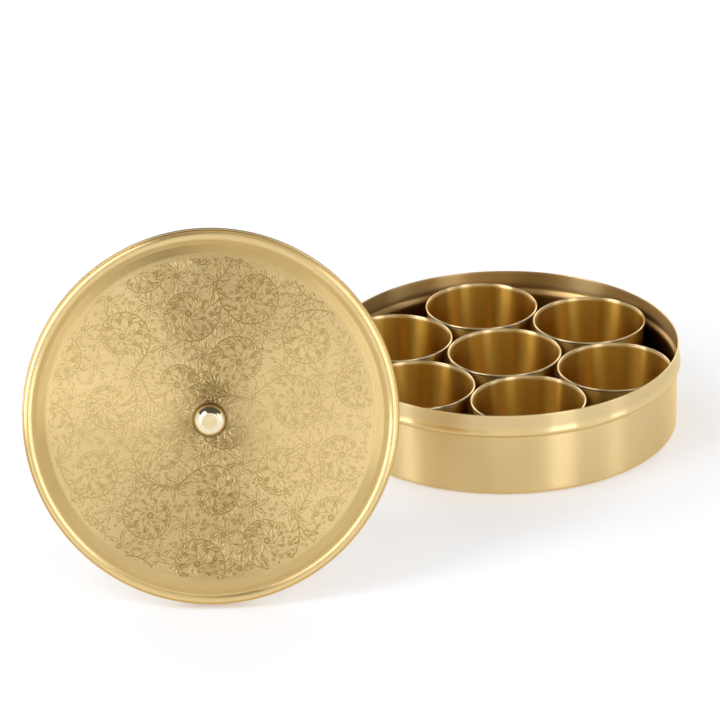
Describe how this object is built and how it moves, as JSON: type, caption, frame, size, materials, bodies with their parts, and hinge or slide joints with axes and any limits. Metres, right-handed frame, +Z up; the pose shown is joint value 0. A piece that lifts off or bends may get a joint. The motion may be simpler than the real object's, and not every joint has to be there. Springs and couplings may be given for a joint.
{
  "type": "spice box",
  "caption": "Round shallow brass spice box with loose cups in a ring around a middle cup, and an engraved lift-off lid with a ball knob.",
  "frame": {"origin": "centre of the box's flat underside", "axes": "+Z up along the box's axis; -Y is the front, towards which the standing lid's engraved face looks"},
  "size_m": [0.3668, 0.3327, 0.1934],
  "materials": {
    "satin_brass": "satin, lathe brushed",
    "polished_brass": "polished",
    "engraved_brass": "satin with an etched floral scroll"
  },
  "bodies": {
    "box": {"box_pan": "satin_brass"},
    "cup_center": {"cup_center": "satin_brass"},
    "cup_back_right": {"cup_back_right": "satin_brass"},
    "cup_back": {"cup_back": "satin_brass"},
    "cup_back_left": {"cup_back_left": "satin_brass"},
    "cup_front_left": {"cup_front_left": "satin_brass"},
    "cup_front": {"cup_front": "satin_brass"},
    "cup_front_right": {"cup_front_right": "satin_brass"},
    "lid": {"lid_cover": "engraved_brass", "lid_knob": "polished_brass", "knob_washer": "satin_brass", "knob_screw": "satin_brass"}
  },
  "joints": [
    {"name": "cup_center_lift", "type": "slide", "parent": "box", "child": "cup_center", "axis": [0, 0, 1], "range_m": [0, 0.056]},
    {"name": "cup_back_right_lift", "type": "slide", "parent": "box", "child": "cup_back_right", "axis": [0, 0, 1], "range_m": [0, 0.056]},
    {"name": "cup_back_lift", "type": "slide", "parent": "box", "child": "cup_back", "axis": [0, 0, 1], "range_m": [0, 0.056]},
    {"name": "cup_back_left_lift", "type": "slide", "parent": "box", "child": "cup_back_left", "axis": [0, 0, 1], "range_m": [0, 0.056]},
    {"name": "cup_front_left_lift", "type": "slide", "parent": "box", "child": "cup_front_left", "axis": [0, 0, 1], "range_m": [0, 0.056]},
    {"name": "cup_front_lift", "type": "slide", "parent": "box", "child": "cup_front", "axis": [0, 0, 1], "range_m": [0, 0.056]},
    {"name": "cup_front_right_lift", "type": "slide", "parent": "box", "child": "cup_front_right", "axis": [0, 0, 1], "range_m": [0, 0.056]},
    {"name": "lid_lift", "type": "slide", "parent": "box", "child": "lid", "axis": [0, 0, 1], "range_m": [0, 0.08]}
  ]
}
